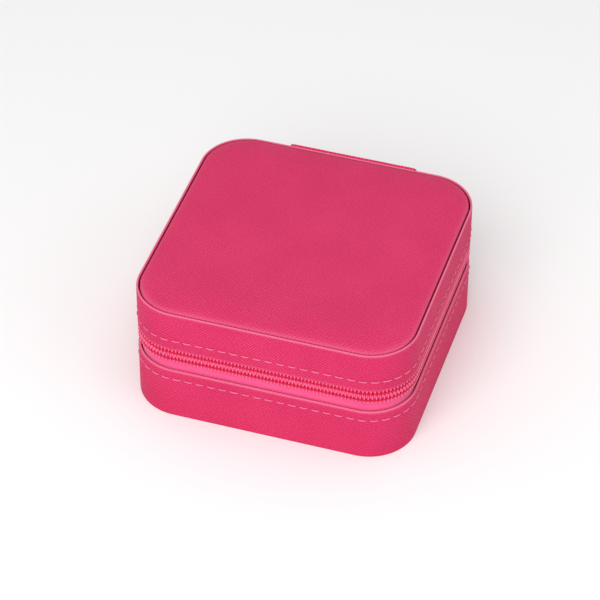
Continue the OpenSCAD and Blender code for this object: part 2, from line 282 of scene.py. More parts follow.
# the grain: fine ridges pressed at 45 degrees, crossed by fainter ones and broken up
cross_grain, grain_in, grain_out = shader_group(
    "cross_grain",
    [("Place", "NodeSocketVector", None), ("Pitch", "NodeSocketFloat", 0.0006),
     ("Cross", "NodeSocketFloat", 0.5)],
    [("Height", "NodeSocketFloat"), ("Ridge", "NodeSocketFloat"), ("Patch", "NodeSocketFloat")])
split = cross_grain.nodes.new("ShaderNodeSeparateXYZ")
cross_grain.links.new(grain_in.outputs["Place"], split.inputs[0])
wander = noise_node(cross_grain, grain_in.outputs["Place"], 260, 2.0)
wander = math_node(cross_grain, "MULTIPLY", math_node(cross_grain, "SUBTRACT", wander, 0.5), 0.0011)
rising = math_node(cross_grain, "ADD", math_node(cross_grain, "MULTIPLY", math_node(
    cross_grain, "SUBTRACT", split.outputs["X"], split.outputs["Y"]), 0.7071), wander)
falling = math_node(cross_grain, "ADD", math_node(cross_grain, "MULTIPLY", math_node(
    cross_grain, "ADD", split.outputs["X"], split.outputs["Y"]), 0.7071), wander)
main_turns = math_node(cross_grain, "DIVIDE", rising, grain_in.outputs["Pitch"])
main_ridge = math_node(cross_grain, "SINE", math_node(cross_grain, "MULTIPLY", main_turns, 2 * math.pi))
cross_turns = math_node(cross_grain, "DIVIDE", falling, grain_in.outputs["Pitch"])
cross_ridge = math_node(cross_grain, "SINE", math_node(cross_grain, "MULTIPLY", cross_turns, 1.45 * math.pi))
cross_ridge = math_node(cross_grain, "MULTIPLY", cross_ridge, grain_in.outputs["Cross"])
crumb = noise_node(cross_grain, grain_in.outputs["Place"], 1700, 2.0)
crumb = math_node(cross_grain, "MULTIPLY", math_node(cross_grain, "SUBTRACT", crumb, 0.5), 4.2)
grain_height = math_node(cross_grain, "ADD", math_node(cross_grain, "ADD", main_ridge, cross_ridge), crumb)
grain_height = math_node(cross_grain, "ADD", math_node(cross_grain, "MULTIPLY", grain_height, 0.25), 0.5)
cross_grain.links.new(grain_height, grain_out.inputs["Height"])
ridge_mask = math_node(cross_grain, "SMOOTH_MAX", math_node(
    cross_grain, "MULTIPLY", math_node(cross_grain, "SUBTRACT", grain_height, 0.35), 1.6), 0.0, 0.1)
cross_grain.links.new(math_node(cross_grain, "MINIMUM", ridge_mask, 1.0), grain_out.inputs["Ridge"])
cross_grain.links.new(noise_node(cross_grain, grain_in.outputs["Place"], 45, 3.0), grain_out.inputs["Patch"])


def leather(name, uv, gloss=0.05):
    """Rose-red coated leather with the pressed grain, lighter on its ridges as painted glints and on marked
    edges as a painted highlight.
    """
    material, tree, shader = new_material(name, leather_red, 0.5, Specular_IOR_Level=gloss)
    grain = place_group(tree, cross_grain, where(tree, uv), Pitch=0.00077, Cross=0.45)
    deep = shade_node(tree, grain.outputs["Patch"], leather_deep, leather_red)
    # The grain's ridges are lightened towards a pale pink: painted glints in place of specular ones.
    strength = math_node(tree, "MULTIPLY_ADD", grain.outputs["Patch"], 0.45, 0.28)
    ridge_glints = shade_node(tree, math_node(tree, "MULTIPLY", grain.outputs["Ridge"], strength), deep, painted_glint_pink)
    # The "edge" attribute lightens the leather towards a paler pink: a painted highlight along rims and
    # edges.
    edge = tree.nodes.new("ShaderNodeAttribute")
    edge.attribute_name = "edge"
    painted_edge_highlight = shade_node(tree, math_node(tree, "MULTIPLY", edge.outputs["Fac"], 0.65), ridge_glints, painted_highlight_pink)
    tree.links.new(painted_edge_highlight, shader.inputs["Base Color"])
    tree.links.new(math_node(tree, "MULTIPLY_ADD", grain.outputs["Patch"], 0.16, 0.46),
                   shader.inputs["Roughness"])
    bump_node(tree, shader, grain.outputs["Height"], 0.00014)
    return material


def near(values, middle, width):
    """A smooth bump: 1 at the middle, and under 0.02 beyond twice the width."""
    return np.exp(-((values - middle) / width) ** 2)


def mark_painted_highlight(mesh, marks):
    """Stores how much of an edge each point is, from 0 to 1, for the leather's painted edge highlight."""
    layer = mesh.attributes.new("edge", "FLOAT", "POINT")
    layer.data.foreach_set("value", np.clip(marks, 0, 1).astype(np.float32))


# leather_red and leather_deep are the leather's own tones; the two paler pinks are painted highlights, one
# for the grain's ridges and one for the marked edges.
leather_red = (0.66, 0.023, 0.108)
leather_deep = (0.56, 0.016, 0.088)
painted_glint_pink = (0.88, 0.125, 0.275)
painted_highlight_pink = (0.92, 0.25, 0.42)
wall_leather = leather("wall_leather", uv=True)


def pulled_by_seam(seam_height, rim, foot):
    """Shapes a wall: a dip along its seam, drawn in at each stitch, and a hand-made unevenness."""
    def shape(depth, height, along):
        stitch = 0.5 + 0.5 * math.cos(2 * math.pi * along / seam_pitch)
        dip = 0.00010 + 0.00008 * stitch
        outside = depth < 0.0005
        moved = depth + outside * dip * near(height, seam_height, 0.0005)
        turn = 2 * math.pi * along / wall_way[2][-1]
        swell = np.array([unevenness(math.cos(turn), math.sin(turn), h * 20, 0.35, 0.00007) for h in height])
        fade = np.clip(np.minimum(rim - height, height - foot) / 0.003, 0, 1)
        return moved + outside * swell * fade, height
    return shape


wall_way = way_round(0.00105)
# the width of the painted highlight along each marked edge
highlight_width = 0.00035
rim_top = 0.00085
rim_drop = 0.0024
base_section = rounded_section(
    [(0, 0, 0.0004), (0, base_rim, 0.0004), (rim_top, base_rim, 0.0003),
     (rim_top + 0.0001, base_rim - rim_drop, 0), (hem_depth, base_rim - rim_drop - 0.0004, 0),
     (hem_depth, base_rim - hem_height, 0), (leather_thickness, base_rim - hem_height, 0),
     (leather_thickness, 0, 0)], 0.0006)
base_wall = swept("base_wall", wall_way, base_section, pulled_by_seam(base_seam, base_rim, 0))
# a painted highlight along the base's rim
mark_painted_highlight(base_wall, near(heights_of(base_wall), base_rim, highlight_width))
add_piece("base_wall", base_wall, "base", wall_leather, "saffiano_leather", "base_wall_leather")

# ---- Stitches of the base ----
# One row of pale two-ply thread. Each stitch is 3 mm long, stands a little proud in its
# middle and goes down through the hem at both ends.
stitch_length = 0.0030
thread_radius = 0.00021


def mesh_of(name, bm):
    """A smooth mesh made from a bmesh, which is then freed."""
    mesh = bpy.data.meshes.new(name)
    bm.to_mesh(mesh)
    bm.free()
    mesh.shade_smooth()
    return mesh


def tube(name, line, radii, sides, plies=0):
    """A mesh tube along a line, with a radius at each point and a twist of plies if any."""
    line = [Vector(p) for p in line]
    bm, rings, upward = bmesh.new(), [], Vector((0, 0, 1))
    far = 0.0
    for i, p in enumerate(line):
        ahead = line[i + 1] if i + 1 < len(line) else p
        behind = line[i - 1] if i else p
        along = (ahead - behind).normalized()
        side = along.cross(upward)
        side = side.normalized() if side.length > 1e-6 else Vector((1, 0, 0))
        over = side.cross(along)
        far += (p - behind).length
        ring = []
        for k in range(sides):
            angle = 2 * math.pi * k / sides
            r = radii[i] * (1 + (0.14 * math.cos(2 * (angle - 5200 * far)) if plies else 0))
            ring.append(bm.verts.new(p + side * r * math.cos(angle) + over * r * math.sin(angle)))
        rings.append(ring)
    for a, b in zip(rings, rings[1:]):
        for k in range(sides):
            bm.faces.new((a[k], a[(k + 1) % sides], b[(k + 1) % sides], b[k]))
    bm.faces.new(list(reversed(rings[0])))
    bm.faces.new(rings[-1])
    bmesh.ops.recalc_face_normals(bm, faces=bm.faces)
    return mesh_of(name, bm)


def one_stitch(length, radius):
    """A stitch along X, with Z out of the leather: a shallow arch, thin where it goes down."""
    steps = np.linspace(-1, 1, 11)
    line = [(t * length / 2, 0, radius * (0.75 - 1.5 * abs(t) ** 3)) for t in steps]
    return tube("one_stitch", line, [radius * (1 - 0.55 * abs(t) ** 5) for t in steps], 8, plies=2)


# the row: an item set along a seam at a pitch, facing out of the surface
seam_row = bpy.data.node_groups.new("seam_row", "GeometryNodeTree")
row_sockets = {label: seam_row.interface.new_socket(label, in_out="INPUT", socket_type=kind)
               for label, kind in [("Seam", "NodeSocketGeometry"), ("Pitch", "NodeSocketFloat"),
                                   ("Item", "NodeSocketObject"), ("Finish", "NodeSocketMaterial"),
                                   ("Unevenness", "NodeSocketFloat"), ("Seed", "NodeSocketInt")]}
seam_row.interface.new_socket("Row", in_out="OUTPUT", socket_type="NodeSocketGeometry")
row_in = seam_row.nodes.new("NodeGroupInput")
row_out = seam_row.nodes.new("NodeGroupOutput")
as_curve = seam_row.nodes.new("GeometryNodeMeshToCurve")
spaced = seam_row.nodes.new("GeometryNodeResampleCurve")
spaced.mode = "LENGTH"
item_info = seam_row.nodes.new("GeometryNodeObjectInfo")
tangent = seam_row.nodes.new("GeometryNodeInputTangent")
outward_name = seam_row.nodes.new("GeometryNodeInputNamedAttribute")
outward_name.data_type = "FLOAT_VECTOR"
outward_name.inputs["Name"].default_value = "outward"
turned = seam_row.nodes.new("FunctionNodeAxesToRotation")
turned.primary_axis = "Z"
turned.secondary_axis = "X"
size_range = seam_row.nodes.new("FunctionNodeRandomValue")
size_range.data_type = "FLOAT"
smallest = math_node(seam_row, "SUBTRACT", 1.0, row_in.outputs["Unevenness"])
largest = math_node(seam_row, "ADD", 1.0, row_in.outputs["Unevenness"])
set_items = seam_row.nodes.new("GeometryNodeInstanceOnPoints")
real_items = seam_row.nodes.new("GeometryNodeRealizeInstances")
set_finish = seam_row.nodes.new("GeometryNodeSetMaterial")
for source, target in [
        (row_in.outputs["Seam"], as_curve.inputs["Mesh"]),
        (as_curve.outputs["Curve"], spaced.inputs["Curve"]),
        (row_in.outputs["Pitch"], spaced.inputs["Length"]),
        (row_in.outputs["Item"], item_info.inputs["Object"]),
        (outward_name.outputs["Attribute"], turned.inputs["Primary Axis"]),
        (tangent.outputs["Tangent"], turned.inputs["Secondary Axis"]),
        (smallest, size_range.inputs[2]),
        (largest, size_range.inputs[3]),
        (row_in.outputs["Seed"], size_range.inputs["Seed"]),
        (spaced.outputs["Curve"], set_items.inputs["Points"]),
        (item_info.outputs["Geometry"], set_items.inputs["Instance"]),
        (turned.outputs["Rotation"], set_items.inputs["Rotation"]),
        (size_range.outputs[1], set_items.inputs["Scale"]),
        (set_items.outputs["Instances"], real_items.inputs["Geometry"]),
        (real_items.outputs["Geometry"], set_finish.inputs["Geometry"]),
        (row_in.outputs["Finish"], set_finish.inputs["Material"]),
        (set_finish.outputs["Geometry"], row_out.inputs["Row"])]:
    seam_row.links.new(source, target)


def as_evaluated(piece):
    """The piece's mesh with its modifiers applied."""
    graph = bpy.context.evaluated_depsgraph_get()
    return bpy.data.meshes.new_from_object(piece.evaluated_get(graph), depsgraph=graph)


def row_of(name, item, line, outward, pitch, material, uneven=0.0, seed=1, closed=True):
    """A mesh with an item repeated along a line, its Z turned to the outward directions."""
    seam = bpy.data.meshes.new("seam")
    edges = [(i, i + 1) for i in range(len(line) - 1)] + ([(len(line) - 1, 0)] if closed else [])
    seam.from_pydata([tuple(p) for p in line], edges, [])
    layer = seam.attributes.new("outward", "FLOAT_VECTOR", "POINT")
    layer.data.foreach_set("vector", np.array(outward, np.float32).ravel())
    seam_piece, item_piece = new_object("seam", seam), new_object("item", item)
    row = seam_piece.modifiers.new("row", "NODES")
    row.node_group = seam_row
    for label, value in [("Pitch", pitch), ("Item", item_piece), ("Finish", material),
                         ("Unevenness", uneven), ("Seed", seed)]:
        row[row_sockets[label].identifier] = value
    mesh = as_evaluated(seam_piece)
    mesh.name = name
    mesh.shade_smooth()
    bpy.data.objects.remove(seam_piece)
    bpy.data.objects.remove(item_piece)
    return mesh


def line_on_wall(way, depth, height, closed=True):
    """A level line along a way at a depth into the wall, and the directions out of it."""
    places, outward, along = way
    if closed:
        places, outward = places[:-1], outward[:-1]
    line = [(x - depth * nx, y - depth * ny, height) for (x, y), (nx, ny) in zip(places, outward)]
    return line, [(nx, ny, 0) for nx, ny in outward]


def speckled(name, colour, roughness, grain, shades, bump, rough_span=None, **settings):
    """A finish that follows one noise: grain is its scale and detail, shades two colours, bump
    a height and a strength, and rough_span how its roughness follows."""
    material, tree, shader = new_material(name, colour, roughness, **settings)
    speck = noise_node(tree, where(tree, False), *grain)
    tree.links.new(shade_node(tree, speck, *shades), shader.inputs["Base Color"])
    if rough_span:
        tree.links.new(math_node(tree, "MULTIPLY_ADD", speck, *rough_span), shader.inputs["Roughness"])
    bump_node(tree, shader, speck, *bump)
    return material


def thread(name, colour, deep, gloss=0.45):
    """Polyester thread, mottled darker and lighter by a fine noise."""
    return speckled(name, colour, 0.42, (5200, 2.0), (deep, colour), (0.00003, 0.6),
                    Specular_IOR_Level=gloss, Sheen_Weight=0.05)


pale_thread = thread("pale_thread", (0.92, 0.27, 0.44), (0.62, 0.06, 0.19))
stitch = one_stitch(stitch_length, thread_radius)
stitch_sink = 0.00006
seam_line, seam_out = line_on_wall(wall_way, stitch_sink, base_seam)
base_stitches = row_of("base_stitches", stitch, seam_line, seam_out, seam_pitch, pale_thread, 0.05, 3)
add_piece("base_stitches", base_stitches, "base", pale_thread, "saffiano_leather")

# ---- Underside panel ----
# A flat leather panel over board, let into the wall with a thin groove round it. The case
# stands on it.
bottom_low = box_of("base_bottom_leather")[0]
bottom_inset = bottom_low.x - base_low.x


def filled_top(name, way, levels, flat_rings, shape=None, face_up=True):
    """A panel: rings at (depth, height) from its side inwards, then flat rings to the middle."""
    places, outward, along = way
    n = len(places) - 1
    vertices, faces = [], []
    for depth, height in levels:
        xy = places[:-1] - outward[:-1] * depth
        vertices += [(x, y, height) for x, y in xy]
    last = np.array(vertices[-n:])
    for i in range(1, flat_rings):
        share = 1 - i / flat_rings
        vertices += [(x * share, y * share, z) for x, y, z in last]
    vertices.append((0, 0, levels[-1][1]))
    rings = len(levels) + flat_rings - 1
    for i in range(rings - 1):
        for k in range(n):
            m = (k + 1) % n
            faces.append((i * n + k, i * n + m, (i + 1) * n + m, (i + 1) * n + k))
    for k in range(n):
        faces.append(((rings - 1) * n + k, (rings - 1) * n + (k + 1) % n, rings * n))
    if shape:
        vertices = [shape(*v) for v in vertices]
    if not face_up:
        faces = [tuple(reversed(f)) for f in faces]
    return mesh_from(name, vertices, faces, [(vertices[v][0], -vertices[v][1]) for f in faces for v in f])


def thickened(mesh, thickness, offset=-1.0):
    """The mesh with a thickness, closed round its border. An offset of -1 goes inwards."""
    name = mesh.name
    piece = new_object("thin", mesh)
    wall = piece.modifiers.new("wall", "SOLIDIFY")
    wall.thickness = thickness
    wall.offset = offset
    thick = as_evaluated(piece)
    bpy.data.objects.remove(piece)
    mesh.name = name + "_thin"
    thick.name = name
    thick.shade_smooth()
    return thick


panel_way = way_round(0.0014)
bottom_levels = [(bottom_inset, 0.0028), (bottom_inset, 0.0012), (bottom_inset + 0.0001, 0.0006),
                 (bottom_inset + 0.0004, 0.0002), (bottom_inset + 0.0010, 0.0), (bottom_inset + 0.004, 0.0)]
bottom_panel = filled_top("bottom_panel", panel_way, bottom_levels, 10, face_up=False)
panel_thickness = leather_thickness * 0.8
bottom_panel = thickened(bottom_panel, panel_thickness)
mark_painted_highlight(bottom_panel, np.zeros(len(bottom_panel.vertices)))
panel_leather = leather("panel_leather", uv=True)
add_piece("bottom_panel", bottom_panel, "base", panel_leather, "saffiano_leather", "base_bottom_leather")

# ---- Base half of the zip ----
# A No. 5 coil zip: woven polyester tape, and a nylon wire wound into flat turns round a cord
# along its edge. Two rows of red lockstitch hold the coil down and press a groove into it.
tape_low, tape_high = box_of("base_zip_tape")
tape_depth = tape_low.x - base_low.x
strip_low, strip_high = box_of("hinge_strip_base_half")
strip_middle = (strip_low.x + strip_high.x) / 2
strip_width = strip_high.x - strip_low.x
lid_tape_low = box_of("lid_zip_tape")[0]
chain_height = (tape_high.z + lid_tape_low.z) / 2 - 0.0002
chain_depth = tape_depth - 0.0002
coil_pitch = 0.00125
wire_radius = 0.00032
groove_reach = 0.00146
cord_reach = (0.00030, 0.0026)
tape_bend = base_rim + 0.0034
tape_crease = base_rim + 0.00195
mouth_gap = 0.0005
zip_ends = strip_width / 2 + 0.0023
zip_pink = (0.98, 0.13, 0.34)


def part_way(way, first, last):
    """The stretch of a way between two distances along it."""
    places, outward, along = way
    keep = (along > first + 1e-5) & (along < last - 1e-5)
    at = np.concatenate([[first], along[keep], [last]])
    pick = lambda values: np.stack([np.interp(at, along, values[:, i]) for i in range(2)], axis=1)
    return pick(places), pick(outward), at


def zip_way(half_gap, spacing, ahead=0.0):
    """The way round the case that stops clear of the hinge, this far from its middle. ahead
    slides it along, so that the lid's turns fall between the base's."""
    whole = way_round(spacing)
    return part_way(whole, half_gap - strip_middle + ahead, whole[2][-1] - half_gap - strip_middle + ahead)


weave, weave_in, weave_out = shader_group(
    "tape_weave",
    [("Place", "NodeSocketVector", None), ("Thread", "NodeSocketFloat", 0.00048)],
    [("Height", "NodeSocketFloat"), ("Patch", "NodeSocketFloat")])
split = weave.nodes.new("ShaderNodeSeparateXYZ")
weave.links.new(weave_in.outputs["Place"], split.inputs[0])
warp_turns = math_node(weave, "DIVIDE", split.outputs["X"], weave_in.outputs["Thread"])
weft_turns = math_node(weave, "DIVIDE", split.outputs["Y"], weave_in.outputs["Thread"])
slant = math_node(weave, "ADD", warp_turns, math_node(weave, "MULTIPLY", weft_turns, 0.5))
warp = math_node(weave, "SINE", math_node(weave, "MULTIPLY", slant, 2 * math.pi))
weft = math_node(weave, "SINE", math_node(weave, "MULTIPLY", weft_turns, math.pi))
woven = math_node(weave, "MULTIPLY_ADD", math_node(weave, "MULTIPLY", warp, weft), 0.5, 0.5)
weave.links.new(woven, weave_out.inputs["Height"])
weave.links.new(noise_node(weave, weave_in.outputs["Place"], 90, 2.0), weave_out.inputs["Patch"])


def woven_tape(name, colour, deep):
    """Fine ribbed tape, with a soft sheen."""
    material, tree, shader = new_material(name, colour, 0.6, Sheen_Weight=0.25, Specular_IOR_Level=0.3)
    cloth = place_group(tree, weave, where(tree, True))
    tone = math_node(tree, "MULTIPLY_ADD", cloth.outputs["Height"], 0.6,
                     math_node(tree, "MULTIPLY", cloth.outputs["Patch"], 0.4))
    tree.links.new(shade_node(tree, tone, deep, colour), shader.inputs["Base Color"])
    bump_node(tree, shader, cloth.outputs["Height"], 0.00006, 0.7)
    return material


def coil_turn(side):
    """One turn of the wire, X along the chain and Z out of the tape. side is -1 for the base's
    half, with its head upwards, and 1 for the lid's. The way back lies on the tape."""
    out = [(0.00, -2.92, 0.90), (0.01, -2.86, 1.22), (0.02, -2.60, 1.47), (0.04, -2.15, 1.50),
           (0.06, -1.75, 1.12), (0.07, -1.46, 0.86), (0.08, -1.15, 1.12), (0.10, -0.75, 1.48),
           (0.12, -0.30, 1.50), (0.13, 0.12, 1.36), (0.14, 0.36, 1.02), (0.16, 0.24, 0.66)]
    back = [(0.26, -0.25, 0.42), (0.46, -1.00, 0.32), (0.72, -1.90, 0.32), (1.00, -2.62, 0.40),
            (1.18, -2.88, 0.64)]
    line = [(-side * x * 0.001, -side * y * 0.001, z * 0.001) for x, y, z in out + back]
    return tube("coil_turn", line, [wire_radius] * len(line), 6)


def out_of_the_hem(depth, height, along):
    """Shapes the base's tape: it leaves the hem near its outer fold and leans back to the coil,
    with a fine crease where the weave changes."""
    lean = np.clip((tape_bend - height) / (tape_bend - base_rim), 0, 1)
    lean = lean * lean * (3 - 2 * lean) * np.clip((height - base_rim + rim_drop) / 0.0012, 0, 1)
    crease = near(height, tape_crease, 0.00014)
    return depth - (tape_depth - rim_top - mouth_gap) * lean + 0.0003 * crease, height


def zip_half(body, side):
    """Tape, coil, lockstitch and cord of a body's half of the zip. side is as in coil_turn."""
    name = body + "_zip"
    z0, z1 = (corner.z for corner in box_of(name + "_tape"))
    tape_section = rounded_section(
        [(tape_depth, z0, 0.0002), (tape_depth, z1, 0.00025), (tape_depth + 0.0006, z1, 0.00025),
         (tape_depth + 0.0006, z0, 0.0002)], 0.0003)
    tape = swept(name + "_ribbon", zip_way(strip_width / 2 - 0.003, 0.0016), tape_section,
                 out_of_the_hem if side < 0 else None, closed_way=False)
    add_piece(name + "_ribbon", tape, body, pink_tape, "zip_tape", name + "_tape")
    meshing = 0.0009 if side > 0 else 0.0
    line, out = line_on_wall(zip_way(zip_ends, 0.0008, meshing), chain_depth, chain_height, closed=False)
    coil = row_of(name + "_wire", coil_turn(side), line, out, coil_pitch, pink_nylon, closed=False)
    add_piece(name + "_wire", coil, body, pink_nylon, "zip_coil", name + "_coil")
    line, out = line_on_wall(zip_way(zip_ends, 0.0008), chain_depth - 0.00120,
                             chain_height + side * groove_reach, closed=False)
    steps = np.linspace(-1, 1, 7)
    bead = tube("bead", [(t * 0.00080, side * 0.00012 * t, 0.00014 * (1 - t * t)) for t in steps],
                [0.00044 * (1 - 0.4 * abs(t) ** 3) for t in steps], 6)
    lockstitch = row_of(name + "_lockstitch", bead, line, out, coil_pitch, red_lockstitch, closed=False)
    add_piece(name + "_lockstitch", lockstitch, body, red_lockstitch, "zip_tape")
    heights = sorted(chain_height + side * reach for reach in cord_reach)
    cord_section = rounded_section(
        [(chain_depth - 0.00112, heights[0], 0.0003), (chain_depth - 0.00112, heights[1], 0.0003),
         (chain_depth - 0.00025, heights[1], 0.0002), (chain_depth - 0.00025, heights[0], 0.0002)], 0.0006)
    cord = swept(name + "_cord", zip_way(zip_ends, 0.0016), cord_section, closed_way=False)
    add_piece(name + "_cord", cord, body, red_cord, "zip_tape")


pink_tape = woven_tape("pink_tape", zip_pink, (0.78, 0.05, 0.19))
pink_nylon = speckled("pink_nylon", (0.95, 0.15, 0.34), 0.34, (600, 2.0),
                      ((0.84, 0.07, 0.21), (0.95, 0.15, 0.34)), (0.00001, 0.5),
                      rough_span=(0.15, 0.26), Specular_IOR_Level=0.5)
# The filler cord is real, but its deep red is partly painted shade for the slots between the coil's turns.
red_cord = woven_tape("red_cord", (0.96, 0.035, 0.17), (0.80, 0.015, 0.09))
# The lockstitch's deep crimson is partly painted shade: it carries the shade in the grooves the thread
# presses into the coil.
red_lockstitch = thread("red_lockstitch", (0.74, 0.004, 0.055), (0.50, 0.002, 0.030), gloss=0.12)
zip_half("base", -1)

# ---- Boards and foam ----
# Grey board stiffens every wall and panel, and a thin foam pad lies under the top's leather.
# They are sealed inside, so the solids stay as they are and only get their own finish.


def dress(node, material):
    """Gives a CAD node that stays a better material."""
    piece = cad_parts[node]
    for holder in piece.material_slots:
        holder.link = "OBJECT"
        holder.material = material


grey_board = speckled("grey_board", (0.42, 0.40, 0.37), 0.9, (900, 4.0),
                      ((0.30, 0.285, 0.26), (0.50, 0.48, 0.45)), (0.00005, 1.0))
for node in ("base_wall_board", "base_bottom_board", "lid_wall_board", "lid_top_board"):
    dress(node, grey_board)
pad_foam = speckled("pad_foam", (0.88, 0.84, 0.70), 0.95, (1500, 3.0),
                    ((0.74, 0.69, 0.54), (0.92, 0.89, 0.78)), (0.0002, 1.0))
dress("lid_foam_pad", pad_foam)

# ---- Base linings ----
# Thin card covered in short pink velvet: one band round the wall with its top edge turned
# over, and a flat floor.
velvet_nap, nap_in, nap_out = shader_group(
    "velvet_nap",
    [("Place", "NodeSocketVector", None), ("Pile", "NodeSocketFloat", 4200.0)],
    [("Height", "NodeSocketFloat"), ("Brushed", "NodeSocketFloat"), ("Fleck", "NodeSocketFloat")])
pile = velvet_nap.nodes.new("ShaderNodeTexNoise")
pile.inputs["Detail"].default_value = 3.0
velvet_nap.links.new(nap_in.outputs["Place"], pile.inputs["Vector"])
velvet_nap.links.new(nap_in.outputs["Pile"], pile.inputs["Scale"])
velvet_nap.links.new(pile.outputs["Fac"], nap_out.inputs["Height"])
brushed = velvet_nap.nodes.new("ShaderNodeTexNoise")
brushed.inputs["Scale"].default_value = 110
brushed.inputs["Detail"].default_value = 2.0
brushed.inputs["Distortion"].default_value = 1.2
velvet_nap.links.new(nap_in.outputs["Place"], brushed.inputs["Vector"])
velvet_nap.links.new(brushed.outputs["Fac"], nap_out.inputs["Brushed"])
velvet_nap.links.new(noise_node(velvet_nap, nap_in.outputs["Place"], 1500, 2.0), nap_out.inputs["Fleck"])


def velvet(name, colour, deep, light):
    """Short-pile velvet: a soft sheen, patches where the pile lies over, and fine flecks."""
    material, tree, shader = new_material(
        name, colour, 0.85, Sheen_Weight=0.55, Sheen_Roughness=0.35, Specular_IOR_Level=0.1,
        Sheen_Tint=(1.0, 0.62, 0.70, 1.0))
    nap = place_group(tree, velvet_nap, where(tree, False))
    patch = tree.nodes.new("ShaderNodeMapRange")
    patch.inputs["From Min"].default_value = 0.30
    patch.inputs["From Max"].default_value = 0.70
    tree.links.new(nap.outputs["Brushed"], patch.inputs["Value"])
    tone = math_node(tree, "MULTIPLY_ADD", nap.outputs["Fleck"], 0.35,
                     math_node(tree, "MULTIPLY_ADD", patch.outputs["Result"], 0.24, 0.15))
    tone = math_node(tree, "MULTIPLY_ADD", nap.outputs["Height"], 0.25, tone)
    tree.links.new(shade_node(tree, tone, deep, light), shader.inputs["Base Color"])
    bump_node(tree, shader, nap.outputs["Height"], 0.00022, 0.8)
    return material


pink_velvet = velvet("pink_velvet", (0.62, 0.17, 0.25), (0.44, 0.085, 0.145), (0.76, 0.27, 0.36))
wall_lining_low, wall_lining_high = box_of("base_wall_lining")
lining_depth = wall_lining_low.x - base_low.x
lining_thickness = 0.0016
card_edge = 0.0007


def lining_band(name, body, z0, z1, open_edge, node):
    """A velvet band round the inside of a wall. open_edge is the height of its turned edge."""
    foot, top = (0, card_edge) if open_edge == z1 else (card_edge, 0)
    section = rounded_section(
        [(lining_depth, z0, foot), (lining_depth, z1, top), (lining_depth + lining_thickness, z1, top),
         (lining_depth + lining_thickness, z0, foot)], 0.0012)
    add_piece(name, swept(name, way_round(0.002), section), body, pink_velvet, "velvet_card", node)


lining_band("base_lining", "base", wall_lining_low.z, wall_lining_high.z, wall_lining_high.z,
            "base_wall_lining")
dress("base_floor_lining", pink_velvet)

# ---- Partition, guides and dividers ----
# The fixed partition and the ribs are glued to the floor and walls. The two dividers are
# velvet-covered card that lifts out between its ribs. All have soft, rounded edges.


def softened(node, width, segments, body, material, slot):
    """A copy of a CAD node with its edges rounded over."""
    bm = bmesh.new()
    bm.from_mesh(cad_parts[node].data)
    bmesh.ops.remove_doubles(bm, verts=bm.verts, dist=1e-6)
    bmesh.ops.dissolve_limit(bm, angle_limit=math.radians(1), verts=bm.verts, edges=bm.edges)
    least_turn = math.radians(25)
    sharp = [e for e in bm.edges if e.is_manifold and e.calc_face_angle(0) > least_turn]
    bmesh.ops.bevel(bm, geom=sharp, offset=width, segments=segments, profile=0.5, affect="EDGES",
                    clamp_overlap=True)
    bmesh.ops.triangulate(bm, faces=[f for f in bm.faces if len(f.verts) > 4])
    mesh = mesh_of(node + "_soft", bm)
    mesh.set_sharp_from_angle(angle=math.radians(50))
    mesh.attributes.new("edge", "FLOAT", "POINT")
    return add_piece(node + "_soft", mesh, body, material, slot, node)


for node, width, segments, body in (
        ("tray_partition", 0.0006, 3, "base"), ("divider_guides", 0.0003, 2, "base"),
        ("divider_front", 0.0006, 3, "divider_front"), ("divider_back", 0.0006, 3, "divider_back")):
    softened(node, width, segments, body, pink_velvet, "velvet_card")

# ---- Ring rolls ----
# Six foam rolls in the same velvet, gathered at both ends and pressed side by side, so
# that a ring is held between two of them.
roll_scale = 10.0
roll_voxel = 0.00085
most_swell = 0.0009


